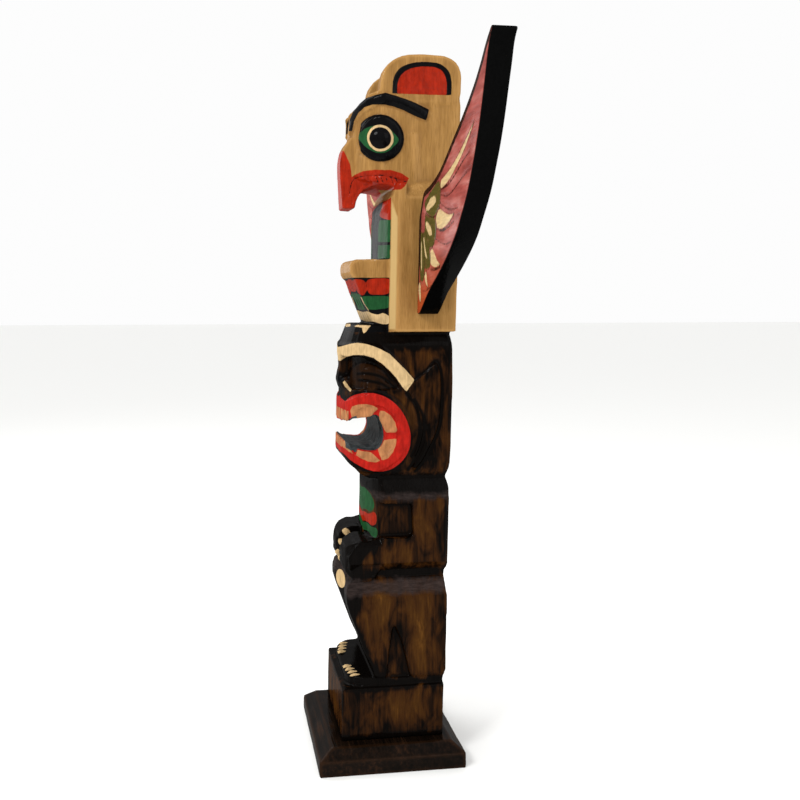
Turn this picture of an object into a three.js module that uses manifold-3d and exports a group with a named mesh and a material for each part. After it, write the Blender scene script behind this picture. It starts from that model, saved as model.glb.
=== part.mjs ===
// A carved wooden totem pole: a bird with spread wings stands on a crouching figure, on a bevelled board.
// Millimetres, +Z up. The front faces -Y, and the origin is on the floor under the middle of the board.

import * as THREE from 'three';
import { mergeVertices } from 'three/addons/utils/BufferGeometryUtils.js';
import Module from 'manifold-3d';

const wasm = await Module();
wasm.setup();

// Base board
const boardWidth = 134.8;
const boardDepth = 104.8;
const boardEdge = 10.5; // height of the upright edge
const boardSlope = 7; // height of the sloping border above it
const boardInset = 9.3; // how far the slope runs in
const boardTop = boardEdge + boardSlope;

// Pole: one log, from the plinth up to the ears
const clearance = 0.3; // glue gap between pieces
const plinthWidth = 97.2;
const plinthDepth = 73.8;
const plinthHeight = 37.7;
const plinthChamfer = 1.2;
const logWidth = 96;
const logDepth = 76;
const logSetback = 2.3; // middle of the log behind the middle of the board
const figureHeight = 254; // crouching figure
const birdHeight = 190.5; // bird, from its block to its ears
const leanDegrees = 1.2; // the whole log leans back a little
const blockOverhang = 1.7; // the bird's block stands proud of the figure

// Carving depths
const lipRelief = 1.6;
const browRelief = 1.6;
const toothSink = 2.2;
const socketSink = 4.5;
const leafRelief = 1.4;
const grooveDepth = 3.2;
const armSink = 6;
const legSink = 4;
const earSink = 1;
const eyeRelief = 1.8;
const blockChamfer = 3;
const fingerGroove = 1.6;

// Wings
const wingReach = 188.5; // from the side of the block to the tip, along X
const wingRise = 151.6; // from its lowest to its highest point
const wingThickness = 14;
const wingLift = 12.5; // bottom of the wing above the bottom of the block
const wingSetback = 14.2; // front of the wing behind the front of the block

const plinthBottom = boardTop + clearance;
const figureBottom = plinthBottom + plinthHeight;
const blockBottom = figureBottom + figureHeight;
const blockHalf = logWidth / 2 + blockOverhang;
const sink = 1; // how far a joined form reaches into its neighbour

// The carving is drawn on a log 96 wide and 76 deep, whose middle is at 2.3. On the drawing the figure goes
// from 55.5 to 309.5 and the bird on to 500, and these turn a place on the drawing into one on the log.
const across = (x) => (x * logWidth) / 96;
const deep = (y) => logSetback + ((y - 2.3) * logDepth) / 76;
const onFigure = (z) => figureBottom + ((z - 55.5) * figureHeight) / 254;
const onBird = (z) => blockBottom + ((z - 309.5) * birdHeight) / 190.5;
const blockFront = deep(-1);

// Outlines
function outline(points) {
  return new THREE.Shape(points.map(([a, b]) => new THREE.Vector2(a, b)));
}

function smoothOutline(points, steps) {
  const loop = new THREE.CatmullRomCurve3(points.map(([a, b]) => new THREE.Vector3(a, b, 0)), true);
  return outline(loop.getSpacedPoints(steps).slice(0, -1).map((p) => [p.x, p.y]));
}

// Places along a smooth line through the points
function run(points, steps) {
  const line = new THREE.CatmullRomCurve3(points.map(([a, b]) => new THREE.Vector3(a, b, 0)));
  return line.getSpacedPoints(steps).map((p) => [p.x, p.y]);
}

const sideView = (up) => (points) => points.map(([y, z]) => [deep(y), up(z)]);
const figureSide = sideView(onFigure);
const birdSide = sideView(onBird);

// Solids
function solid(geometry) {
  const bare = geometry.index ? geometry.clone() : geometry;
  bare.deleteAttribute('normal');
  bare.deleteAttribute('uv');
  const merged = mergeVertices(bare, 1e-4);
  return new wasm.Manifold(
    new wasm.Mesh({
      numProp: 3,
      vertProperties: new Float32Array(merged.attributes.position.array),
      triVerts: new Uint32Array(merged.index.array),
    }),
  );
}

const axesX = new THREE.Matrix4().set(0, 0, 1, 0, 1, 0, 0, 0, 0, 1, 0, 0, 0, 0, 0, 1);
const axesY = new THREE.Matrix4().set(1, 0, 0, 0, 0, 0, -1, 0, 0, 1, 0, 0, 0, 0, 0, 1);

function extrude(shape, depth) {
  return new THREE.ExtrudeGeometry(shape, { depth, bevelEnabled: false, curveSegments: 10 });
}

// A side view (Y, Z) made solid from x0 to x1
function slabX(shape, x0, x1) {
  return solid(extrude(shape, x1 - x0).applyMatrix4(axesX).translate(x0, 0, 0));
}

// A front view (X, Z) made solid from y0 to y1
function slabY(shape, y0, y1) {
  return solid(extrude(shape, y1 - y0).applyMatrix4(axesY).translate(0, y1, 0));
}

// A plan (X, Y) made solid from z0 to z1, which can narrow to a share of itself at its top
function slabZ(shape, z0, z1, share = 1) {
  const geometry = extrude(shape, z1 - z0);
  const p = geometry.attributes.position;
  for (let i = 0; i < p.count; i++) {
    if (p.getZ(i) > 0) {
      p.setXY(i, p.getX(i) * share, logSetback + (p.getY(i) - logSetback) * share);
    }
  }
  return solid(geometry.translate(0, 0, z0));
}

function box(x0, x1, y0, y1, z0, z1) {
  const middle = [(x0 + x1) / 2, (y0 + y1) / 2, (z0 + z1) / 2];
  return solid(new THREE.BoxGeometry(x1 - x0, y1 - y0, z1 - z0).translate(...middle));
}

function ball(x, y, z, rx, ry, rz, turns = 20) {
  return solid(new THREE.SphereGeometry(1, turns, turns / 2).scale(rx, ry, rz).translate(x, y, z));
}

const join = (...parts) => parts.flat().reduce((whole, part) => whole.add(part));
const cut = (whole, ...tools) => tools.flat().reduce((rest, tool) => rest.subtract(tool), whole);
const both = (make) => [1, -1].map(make);
const span = (side, a, b) => (side > 0 ? [a, b] : [-b, -a]);

// Plan of the log with its four corners cut back, the front ones rounded
function logPlan(half, front, back, cornerFront, cornerBack) {
  const round = cornerFront * 0.3;
  const right = [
    [half - cornerFront, front], [half - round, front + round], [half, front + cornerFront],
    [half, back - cornerBack], [half - cornerBack, back],
  ];
  const left = right.map(([x, y]) => [-x, y]).reverse();
  return outline([...left, ...right]);
}

// The points of a loop moved outwards by an amount, which is inwards below zero
function grown(points, amount) {
  const outward = ([ax, ay], [bx, by]) => {
    const length = Math.hypot(bx - ax, by - ay);
    return [(by - ay) / length, (ax - bx) / length];
  };
  return points.map((point, i) => {
    const [ax, ay] = outward(points.at(i - 1), point);
    const [bx, by] = outward(point, points[(i + 1) % points.length]);
    const share = amount / (1 + ax * bx + ay * by);
    return [point[0] + (ax + bx) * share, point[1] + (ay + by) * share];
  });
}

// Plan of a head: its bowed front, given from the middle to the side, then its sides and back
function headPlan(front, back, corner, grow) {
  const right = front.map(([x, y]) => [across(x), deep(y)]);
  const half = right.at(-1)[0];
  right.push([half, deep(back) - corner], [half - corner, deep(back)]);
  const left = right.slice(1).map(([x, y]) => [-x, y]).reverse();
  return outline(grown([...left, ...right], grow));
}

// A band that follows a line, of a given width
function band(points, width, steps) {
  const line = new THREE.CatmullRomCurve3(points.map(([a, b]) => new THREE.Vector3(a, b, 0)));
  const edges = [1, -1].map((side) =>
    Array.from({ length: steps + 1 }, (_, i) => {
      const p = line.getPointAt(i / steps);
      const t = line.getTangentAt(i / steps);
      return [p.x - (side * t.y * width) / 2, p.y + (side * t.x * width) / 2];
    }),
  );
  return outline([...edges[0], ...edges[1].reverse()]);
}

function baseBoard() {
  const edge = box(-boardWidth / 2, boardWidth / 2, -boardDepth / 2, boardDepth / 2, 0, boardEdge);
  const top = new THREE.BoxGeometry(boardWidth, boardDepth, boardSlope + sink);
  top.translate(0, 0, boardEdge - sink + (boardSlope + sink) / 2);
  const p = top.attributes.position;
  for (let i = 0; i < p.count; i++) {
    if (p.getZ(i) > boardEdge) {
      p.setX(i, p.getX(i) - Math.sign(p.getX(i)) * boardInset);
      p.setY(i, p.getY(i) - Math.sign(p.getY(i)) * boardInset);
    } else {
      p.setZ(i, boardEdge);
    }
  }
  return edge.add(solid(top));
}

function plinth() {
  const front = logSetback - plinthDepth / 2;
  const back = logSetback + plinthDepth / 2;
  const plan = logPlan(plinthWidth / 2, front, back, plinthChamfer, plinthChamfer);
  return slabZ(plan, plinthBottom, figureBottom);
}

// Crouching figure, from its feet up
function legs() {
  const side = outline(figureSide([
    [-28, 133.5], [-31.5, 130], [-32.6, 125], [-32.4, 118], [-30.4, 111], [-27.2, 103], [-19.8, 83],
    [-14.8, 73], [-10.6, 62], [-10, 54.5], [38.4, 54.5], [38.6, 60], [40, 66], [40.3, 90], [40, 121],
    [38, 134],
  ]));
  const front = outline([
    [-45.5, 54.5], [-46.2, 60], [-48, 64], [-48, 121], [-44, 134], [44, 134], [48, 121], [48, 64],
    [46.2, 60], [45.5, 54.5],
  ].map(([x, z]) => [across(x), onFigure(z)]));
  const form = slabX(side, across(-48), across(48)).intersect(slabY(front, deep(-45), deep(45)));
  const fold = outline(figureSide([[1.2, 103], [8, 88], [15, 61], [-3, 61], [-1.5, 82]]));
  const folds = both((s) => slabX(fold, ...span(s, across(48) - legSink, across(50))));
  const parting = outline([
    [-9, 131], [-11.5, 100], [-10, 54], [10, 54], [11.5, 100], [9, 131],
  ].map(([x, z]) => [across(x), onFigure(z)]));
  const shin = outline(figureSide([[-19, 131], [-14, 112], [-5, 74], [-5, 54], [0, 54], [0, 131]]));
  const channel = slabY(parting, deep(-45), deep(-13)).subtract(slabX(shin, across(-20), across(20)));
  const hollow = outline([[-44, -36], [44, -36], [10, -26], [-10, -26]].map(([x, y]) => [across(x), deep(y)]));
  return cut(form, folds, channel, slabZ(hollow, onFigure(54), onFigure(133)));
}

function feet() {
  const toes = 4;
  const plan = outline([
    [-45.5, 0], [-45.5, -20], [-41, -26.6], [-34, -29.6], [-20, -32], [20, -32], [34, -29.6], [41, -26.6],
    [45.5, -20], [45.5, 0],
  ].map(([x, y]) => [across(x), deep(y)]));
  const side = smoothOutline(figureSide([
    [-29.6, 54.6], [-31.2, 58.2], [-29.6, 61], [-24, 62], [-14, 62.6], [4, 63], [6, 54], [-14, 52],
  ]), 24);
  const ledge = slabZ(plan, onFigure(54.5), onFigure(66)).intersect(slabX(side, across(-50), across(50)));
  const gaps = both((s) => Array.from({ length: toes + 1 }, (_, i) => {
    const slot = new THREE.CylinderGeometry(fingerGroove, fingerGroove, 14, 6);
    return solid(slot.rotateX(Math.PI / 2).translate(s * across(13.5 + 6.7 * i), deep(-27), onFigure(62.6)));
  }));
  return cut(ledge, ...gaps);
}

function torso() {
  const side = outline(figureSide([
    ...run([[-8, 208], [-13, 204.5], [-16.4, 198], [-17.6, 190], [-17, 180], [-15.6, 168], [-14.5, 150]], 10),
    [-14, 130], [37.5, 130], [38, 135], [40.4, 143], [40.5, 190], [39.4, 200], [37.4, 206.5], [37.4, 208],
  ]));
  const front = outline([
    [-42, 130], [-43, 139.5], [-48, 146], [-48, 191], [-45, 199], [-41, 208],
    [41, 208], [45, 199], [48, 191], [48, 146], [43, 139.5], [42, 130],
  ].map(([x, z]) => [across(x), onFigure(z)]));
  const plan = outline([
    ...run([[-48, -7], [-42, -10.6], [-28, -14.4], [0, -17.4], [28, -14.4], [42, -10.6], [48, -7]], 12),
    [48, 37], [44, 40.5], [-44, 40.5], [-48, 37],
  ].map(([x, y]) => [across(x), deep(y)]));
  const form = slabX(side, across(-48), across(48))
    .intersect(slabY(front, deep(-20), deep(45)))
    .intersect(slabZ(plan, onFigure(130), onFigure(208)));
  const hollow = outline(figureSide([[-22, 164], [-22, 189], [13, 187.5], [14.5, 166], [11, 163.5]]));
  const hollows = both((s) => slabX(hollow, ...span(s, across(48) - armSink, across(52))));
  return cut(form, hollows);
}

function arms() {
  const forearm = outline(figureSide([
    [-31, 141], [-32, 150], [-27, 158.6], [-12, 163], [20, 163.5], [20, 139.5], [-27, 139.5],
  ]));
  const front = outline([[20, 136], [43, 139.5], [48, 146], [48, 158], [44, 164], [20, 164]]
    .map(([x, z]) => [across(x), onFigure(z)]));
  const hand = smoothOutline(figureSide([
    [-12, 158.6], [-19, 161.2], [-26, 160.6], [-31.4, 157], [-34.4, 150.6], [-34.8, 144.6], [-33, 138.6],
    [-28, 134.2], [-14, 134], [-8, 145],
  ]), 26);
  return both((s) => {
    const view = outline(front.getPoints().map((p) => [s * p.x, p.y]));
    const sleeve = slabX(forearm, ...span(s, across(20), across(48)))
      .intersect(slabY(view, deep(-40), deep(25)));
    const plan = outline([
      [9, -32], [13, -34.4], [28, -34.4], [37, -32.6], [43, -29], [46.5, -22], [46.5, -5], [9, -5],
    ].map(([x, y]) => [s * across(x), deep(y)]));
    const palm = slabX(hand, ...span(s, across(8), across(47)))
      .intersect(slabZ(plan, onFigure(130), onFigure(172)));
    const gaps = [[-35, 145], [-33.6, 154]].map(([y, z]) => {
      const slot = new THREE.CylinderGeometry(fingerGroove, fingerGroove, across(24), 6);
      return solid(slot.rotateZ(Math.PI / 2).translate(s * across(19), deep(y), onFigure(z)));
    });
    return sleeve.add(cut(palm, gaps));
  });
}

const faceFront = [
  [-17, 206], [-24, 209.5], [-30, 216], [-33, 222], [-34.4, 231], [-34.6, 262], [-33.8, 274], [-33.8, 300],
  [-36, 302], [-36, 314],
];
const faceBack = [
  [-8, 314], [-8, 309.8], [38.4, 309.8], [40.2, 297], [40.9, 262], [40.6, 225], [39.8, 215], [37.4, 206],
];
const faceBow = [[0, -34.6], [20, -33], [34, -31], [42, -28.4], [46.4, -24.4], [48, -18]];
const facePlan = (grow) => headPlan(faceBow, 41, 4, grow);

function faceCore() {
  const side = slabX(outline(figureSide([...faceFront, ...faceBack])), across(-48), across(48));
  const front = outline([
    [-42, 206], [-46.5, 213], [-48, 222], [-48, 300], [-46, 308], [-45.5, 314],
    [45.5, 314], [46, 308], [48, 300], [48, 222], [46.5, 213], [42, 206],
  ].map(([x, z]) => [across(x), onFigure(z)]));
  const face = slabZ(facePlan(0), onFigure(200), onFigure(301));
  const crown = slabZ(facePlan(0), onFigure(301), onFigure(314), 0.87);
  return side.intersect(slabY(front, deep(-45), deep(45))).intersect(face.add(crown));
}

// Everything within the grown or shrunk outside of the head
function faceSkin(grow) {
  return slabZ(facePlan(grow), onFigure(200), onFigure(320));
}

const through = (shape) => slabX(shape, across(-60), across(60));
const mouthMiddle = [-15, 239];

function mouthOval(growth) {
  const [y, z] = mouthMiddle;
  const turn = Array.from({ length: 30 }, (_, i) => (i / 30) * 2 * Math.PI);
  return outline(figureSide(turn.map((a) => [
    y + (25.5 + growth) * Math.cos(a) - 2.5 * Math.sin(a) ** 2, z + (27.8 + growth) * Math.sin(a),
  ])));
}

function mouth(head) {
  const lips = through(mouthOval(0)).intersect(faceSkin(lipRelief));
  const reach = slabX(outline(figureSide([
    [-18, 206], [-24.6, 209], [-31.4, 215.6], [-34.6, 222], [-35.8, 231], [-36.3, 255], [-34.6, 266.8],
    [20, 268], [20, 206],
  ])), across(-60), across(60));
  const ring = lips.intersect(reach);
  const teeth = through(mouthOval(-8.2)).subtract(faceSkin(lipRelief - toothSink));
  const gap = through(smoothOutline(figureSide([
    [-36.4, 244.2], [-32.6, 245.6], [-28.6, 248.2], [-21, 249.8], [-13, 250.6], [-9.6, 243], [-8.6, 235],
    [-12, 227.6], [-25, 228], [-33, 231], [-42, 236], [-45, 241],
  ]), 34));
  return cut(head.add(ring), teeth, gap);
}

function brows(head) {
  const line = figureSide([
    [-44, 293.6], [-34, 295.6], [-26, 297.5], [-17, 296.5], [-8, 290.6], [0, 282.5], [7.4, 271.6],
  ]);
  const ridge = through(band(line, 8.2, 18)).intersect(faceSkin(browRelief));
  const above = outline(figureSide([[-36, 306], [-36, 286], [-33, 284], [20, 262], [20, 306]]));
  const reach = slabX(above, across(-50), across(50));
  const socket = through(outline(figureSide([
    ...run([[-44, 289], [-32, 292.4], [-22, 291.5], [-10, 286], [-2, 277.5], [2, 270]], 10),
    [-8, 268.5], [-20, 270], [-31, 268], [-44, 270],
  ]))).subtract(faceSkin(-socketSink));
  const eyes = both((s) => join(
    ball(s * (across(47.6) - socketSink), deep(-11), onFigure(280), socketSink - 1, 14, 8.5),
    ball(s * (across(47.6) - socketSink), deep(-9), onFigure(272), socketSink - 0.6, 14, 4.5),
  ));
  return join(cut(head, socket), ridge.intersect(reach), eyes);
}

function nose() {
  const bridge = slabX(outline(figureSide([
    [-33, 300], [-35.8, 294], [-34.8, 284], [-36.2, 278], [-36.8, 273.6], [-35.4, 268.6], [-33.6, 265],
    [-20, 265], [-20, 300],
  ])), across(-7.5), across(7.5));
  const wings = both((s) => ball(s * across(10), deep(-30.4), onFigure(271.5), 7, 5.2, 5.4, 14));
  return join(bridge, wings);
}

function cheekLeaves() {
  const leaf = smoothOutline(figureSide([
    [11.4, 274], [19, 281], [28, 288.5], [31.6, 276], [31.4, 252], [27, 234], [18, 217], [12, 212], [14, 226],
    [16.6, 240], [14, 254], [9.4, 264],
  ]), 30);
  const vein = band(figureSide([[26, 284], [22, 268], [22.4, 252], [20, 234], [11, 212]]), 2, 14);
  return both((s) => cut(
    slabX(leaf, ...span(s, across(48) - sink, across(48) + leafRelief)),
    slabX(vein, ...span(s, across(48), across(52))),
  ));
}

// Cuts that run round the log between the forms
function grooves() {
  return [[207, 3], [137.5, 3.6]].map(([z, half]) => {
    const reach = (side) => [[side, onFigure(z) + half], [side, onFigure(z) - half]];
    const edge = across(48);
    const cutSide = (s) => outline([...reach(s * (edge + sink)), [s * (edge - grooveDepth), onFigure(z)]]);
    const wedges = both((s) => slabY(cutSide(s), deep(-16), deep(60)));
    const back = outline([...reach(deep(41)), [deep(41) - grooveDepth, onFigure(z)]]);
    return [...wedges, slabX(back, across(-60), across(60))];
  }).flat();
}

// Bird
function block() {
  const side = outline(birdSide([
    [-1, 309.5], [-1, 399], [1.5, 405], [6, 409.5], [14, 412], [30, 414], [41.6, 414], [41, 309.5],
  ]));
  const front = outline([
    [-blockHalf, onBird(309.5)], [-blockHalf, onBird(402)], [across(-42), onBird(414)],
    [across(42), onBird(414)], [blockHalf, onBird(402)], [blockHalf, onBird(309.5)],
  ]);
  const plan = logPlan(blockHalf, blockFront, deep(45), blockChamfer, 0.5);
  return slabX(side, -blockHalf, blockHalf).intersect(slabY(front, deep(-20), deep(60)))
    .intersect(slabZ(plan, onBird(309.5), onBird(420)));
}

function chest() {
  const side = outline(birdSide([
    [-2.6, 412], [-4.3, 404], [-8.2, 399], [-9.9, 394.6], [-10.3, 378], [-10.9, 362], [-11, 309.5], [5, 309.5],
    [5, 412],
  ]));
  const plan = outline([
    ...run([[-49.6, -0.8], [-44, -6], [-30, -8.6], [0, -11], [30, -8.6], [44, -6], [49.6, -0.8]], 10),
    [49.6, 4], [-49.6, 4],
  ].map(([x, y]) => [across(x), deep(y)]));
  return slabX(side, -blockHalf, blockHalf).intersect(slabZ(plan, onBird(309.5), onBird(412)));
}

function tail() {
  const side = outline(birdSide([
    [-28, 360], [-30.8, 358.4], [-31.9, 355], [-31.6, 350.4], [-29.8, 347], [-28.4, 346.6], [-24.4, 336],
    [-19.6, 325.6], [-15.4, 316], [-11.5, 309.5], [0, 309.5], [0, 360],
  ]));
  const plan = outline([
    [-30, -34], [30, -34], [31, -26], [33, -18], [37, -9], [45, 1], [-45, 1], [-37, -9], [-33, -18],
    [-31, -26],
  ].map(([x, y]) => [across(x), deep(y)]));
  const form = slabX(side, across(-48), across(48)).intersect(slabZ(plan, onBird(309.5), onBird(360)));
  const slots = [-18, -6, 6, 18].map((x) => {
    const slot = new THREE.CylinderGeometry(fingerGroove, fingerGroove, 70, 6);
    return solid(slot.rotateX(Math.PI / 2 + 1.17).translate(across(x), deep(-22), onBird(330)));
  });
  return cut(form, slots);
}

const skullBow = [[0, -31.6], [9, -30.8], [20, -28.2], [30, -25.4], [36, -22.2], [40, -18], [42, -12]];
const skullPlan = (grow) => headPlan(skullBow, 42.6, 2, grow);
const skullFront = [
  [-31.4, 438], [-31.6, 449], [-31.6, 455], [-30.2, 461.4], [-27, 468], [-21, 473], [-13, 475.6],
];

function skull() {
  const side = outline(birdSide([
    ...skullFront, [0, 476], [41, 475.5], [42.6, 466], [41.8, 408.5], [3, 408.5], [-6, 411], [-18, 412.5],
    [-30, 418],
  ]));
  return slabX(side, across(-42), across(42)).intersect(slabZ(skullPlan(0), onBird(400), onBird(480)));
}

function beak() {
  const side = outline(birdSide([
    ...run([
      [-31, 446], [-34.4, 441.4], [-36.8, 436], [-37.8, 428], [-37.3, 417.8], [-36.2, 404], [-35.8, 396.6],
    ], 10),
    ...run([[-27.4, 396.4], [-26, 403], [-23, 407.8], [-18, 411], [-11, 411.6], [-4, 409.8], [3, 408.4]], 10),
    [12, 412], [12, 446],
  ]));
  const plan = outline([
    [-9.5, -38.5], [9.5, -38.5], [12, -35], [17, -27], [25, -20.5], [36, -15], [42, -10], [42.6, 13],
    [-42.6, 13], [-42, -10], [-36, -15], [-25, -20.5], [-17, -27], [-12, -35],
  ].map(([x, y]) => [across(x), deep(y)]));
  return slabX(side, across(-42.6), across(42.6)).intersect(slabZ(plan, onBird(390), onBird(450)));
}

function crest() {
  const side = smoothOutline(birdSide([
    [-12.9, 470], [-13.6, 483], [-10.4, 491.6], [-2, 497.6], [10, 499.8], [21, 499.8], [31.4, 498.8],
    [38.4, 494.8], [41.8, 487.6], [42, 480], [41.6, 472], [38, 468], [14, 467],
  ]), 40);
  const panel = smoothOutline(birdSide([
    [-4.6, 472.4], [-3.6, 484], [3, 490.4], [14, 493], [26, 492.6], [33, 488], [35, 480], [35, 472.4],
  ]), 20);
  return both((s) => cut(
    slabX(side, ...span(s, across(25), across(42.4))),
    slabX(panel, ...span(s, across(42.4) - earSink, across(50))),
  ));
}

function birdEyes() {
  const line = birdSide([
    [-36, 447], [-33.6, 455], [-28, 462.4], [-19, 467.4], [-9, 469.4], [3, 467], [11, 463], [18.6, 457.6],
  ]);
  const ridge = through(band(line, 6.4, 18))
    .intersect(slabZ(skullPlan(browRelief), onBird(440), onBird(478)));
  const gapInFront = box(across(-9), across(9), deep(-45), deep(-20), onBird(430), onBird(480));
  const turn = Array.from({ length: 28 }, (_, i) => (i / 28) * 2 * Math.PI);
  const around = birdSide(turn.map((a) => [-12.9 + 14.6 * Math.cos(a), 442.8 + 15.6 * Math.sin(a)]));
  const oval = through(outline(around));
  const rims = both((s) => oval.intersect(slabZ(skullPlan(eyeRelief), onBird(420), onBird(465)))
    .intersect(box(...span(s, across(18), across(48)), deep(-40), deep(10), onBird(420), onBird(465))));
  const pupils = both((s) => solid(new THREE.SphereGeometry(1, 16, 8).scale(4.2, 7.6, 7.6).rotateZ(-0.25 * s)
    .translate(s * across(41), deep(-14), onBird(443))));
  return join(cut(ridge, gapInFront), rims, pupils);
}

// The whole log leans back about its foot
function lean(solidForm) {
  const slope = Math.tan(THREE.MathUtils.degToRad(leanDegrees));
  return solidForm.warp((v) => {
    v[1] += slope * (v[2] - plinthBottom);
  });
}

function pole() {
  const lowerFace = join(nose(), cheekLeaves(), brows(mouth(faceCore())));
  const figure = cut(join(legs(), feet(), torso(), arms(), lowerFace), grooves());
  const bird = join(block(), chest(), tail(), skull(), beak(), crest(), birdEyes());
  return lean(join(plinth(), figure, bird));
}

// Wing: drawn on a board that is 188.5 long and 151.6 high, its root at the side of the block
function wing(side) {
  const root = blockHalf + clearance;
  const foot = blockBottom + wingLift;
  const place = ([x, z]) => [side * (root + (x * wingReach) / 188.5), foot + (z * wingRise) / 151.6];
  const upper = run([
    [0, 66], [9, 78], [16, 83.2], [38, 86], [60, 90.4], [81, 97.6], [105, 107.6], [127, 116.4], [141, 122.8],
    [155, 130.2], [168, 139.2], [179, 147], [187, 151.6],
  ], 22);
  const lower = run([
    [188.5, 149.6], [183, 143], [178.6, 133], [174, 121], [168.6, 109], [161.4, 95.5], [152, 82], [141, 69],
    [128, 58], [112, 46.6], [90, 35.4], [63, 24.6], [36, 14.4], [8, 1], [0, 0],
  ], 20);
  const front = blockFront + wingSetback;
  return lean(slabY(outline([...upper, ...lower].map(place)), front, front + wingThickness));
}

// Finishes
const finishes = {
  pole: { color: 0x2a1a0e, roughness: 0.35, metalness: 0 },
  board: { color: 0x1c1511, roughness: 0.4, metalness: 0 },
  wing: { color: 0xb8441e, roughness: 0.4, metalness: 0 },
};

const totem = new THREE.Group();

function addPiece(name, form, finish) {
  const { vertProperties, triVerts, numProp } = form.getMesh();
  const geometry = new THREE.BufferGeometry();
  const positions = new Float32Array((vertProperties.length / numProp) * 3);
  for (let i = 0; i < positions.length / 3; i++) {
    positions.set(vertProperties.subarray(i * numProp, i * numProp + 3), i * 3);
  }
  geometry.setAttribute('position', new THREE.BufferAttribute(positions, 3));
  geometry.setIndex(new THREE.BufferAttribute(new Uint32Array(triVerts), 1));
  geometry.computeVertexNormals();
  const mesh = new THREE.Mesh(geometry, new THREE.MeshStandardMaterial(finish));
  mesh.name = name;
  totem.add(mesh);
}

addPiece('base_board', baseBoard(), finishes.board);
addPiece('pole', pole(), finishes.pole);
addPiece('wing_left', wing(1), finishes.wing);
addPiece('wing_right', wing(-1), finishes.wing);

export default totem;
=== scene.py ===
import math

import bmesh
import bpy
import numpy as np
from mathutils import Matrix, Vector, noise


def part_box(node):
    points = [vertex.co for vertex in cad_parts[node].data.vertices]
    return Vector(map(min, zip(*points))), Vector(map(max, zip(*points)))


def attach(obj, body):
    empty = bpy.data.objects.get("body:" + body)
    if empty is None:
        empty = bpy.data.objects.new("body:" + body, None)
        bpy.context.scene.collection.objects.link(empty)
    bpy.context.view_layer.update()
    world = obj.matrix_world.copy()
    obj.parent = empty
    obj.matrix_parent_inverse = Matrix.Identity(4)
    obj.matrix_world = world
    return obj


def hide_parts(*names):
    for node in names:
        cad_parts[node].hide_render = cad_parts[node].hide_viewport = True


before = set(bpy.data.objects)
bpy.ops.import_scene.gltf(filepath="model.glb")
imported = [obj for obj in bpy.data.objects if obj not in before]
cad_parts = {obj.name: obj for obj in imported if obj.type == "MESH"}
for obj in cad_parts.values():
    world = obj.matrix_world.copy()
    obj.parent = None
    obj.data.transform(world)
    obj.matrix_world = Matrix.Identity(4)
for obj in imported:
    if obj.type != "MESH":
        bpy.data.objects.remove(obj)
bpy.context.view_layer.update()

# A carved and painted totem pole. Lengths are in mm until a mesh is made, and the front looks along -Y.
# Outlines of carving and paint are side views (Y, Z), seen from the pole's left side.

viewing = {
    "place": (806.3, -122.6, 335.0),  # where the pole is looked at from
    "turn": 80.25,  # degrees round the pole from its front
    "dip": 5.43,  # degrees below level
    "lens": 49.68,
    "sensor": 36.0,
}


# Colours and nodes

def linear(code, alpha=1.0):  # sRGB hex to linear
    parts = [int(code[i:i + 2], 16) / 255 for i in (1, 3, 5)]
    return tuple(p / 12.92 if p <= 0.04045 else ((p + 0.055) / 1.055) ** 2.4 for p in parts) + (alpha,)


def addNode(tree, kind, inputs=None, **settings):
    node = tree.nodes.new(kind)
    for name, value in settings.items():
        setattr(node, name, value)
    for key, value in (inputs or {}).items():
        if isinstance(value, bpy.types.NodeSocket):
            tree.links.new(value, node.inputs[key])
        else:
            node.inputs[key].default_value = value
    return node


def newMaterial(name):
    material = bpy.data.materials.new(name)
    material.use_nodes = True
    material.node_tree.nodes.clear()
    return material, material.node_tree


def colourRamp(tree, factor, stops):
    node = addNode(tree, "ShaderNodeValToRGB", {0: factor})
    ramp = node.color_ramp
    while len(ramp.elements) < len(stops):
        ramp.elements.new(0.5)
    for element, (place, code) in zip(ramp.elements, stops):
        element.position = place
        element.color = linear(code)
    return node.outputs[0]


def mixColour(tree, factor, under, over, blend="MIX"):
    node = addNode(tree, "ShaderNodeMix", {0: factor}, data_type="RGBA", blend_type=blend)
    for key, value in ((6, under), (7, over)):
        if isinstance(value, bpy.types.NodeSocket):
            tree.links.new(value, node.inputs[key])
        else:
            node.inputs[key].default_value = value
    return node.outputs[2]


def math2(tree, operation, a, b=0.0, clamp=False):
    return addNode(tree, "ShaderNodeMath", {0: a, 1: b}, operation=operation, use_clamp=clamp).outputs[0]


def grainNoise(tree, sizes, detail=3.0, rough=0.55, distortion=0.0):  # sizes of the pattern in mm along X, Y, Z
    place = addNode(tree, "ShaderNodeTexCoord").outputs["Object"]
    scale = tuple(1000 / s for s in sizes)
    stretched = addNode(tree, "ShaderNodeMapping", {"Vector": place, "Scale": scale}, vector_type="POINT").outputs[0]
    return addNode(tree, "ShaderNodeTexNoise", {
        "Vector": stretched, "Scale": 1.0, "Detail": detail, "Roughness": rough, "Distortion": distortion,
    }).outputs[0]


# Distances to outlines, for carving and paint

def smoothLoop(points, steps=6, closed=True):  # Catmull-Rom through the points
    p = np.array(points, float)
    n = len(p)
    ends = n if closed else n - 1
    out = []
    for i in range(ends):
        a, b, c, d = (p[(i + k) % n] if closed else p[min(max(i + k, 0), n - 1)] for k in (-1, 0, 1, 2))
        for t in np.arange(steps) / steps:
            curve = (2 * a - 5 * b + 4 * c - d) * t ** 2 + (3 * b - a - 3 * c + d) * t ** 3
            out.append(0.5 * (2 * b + (c - a) * t + curve))
    if not closed:
        out.append(p[-1])
    return np.array(out)


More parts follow.
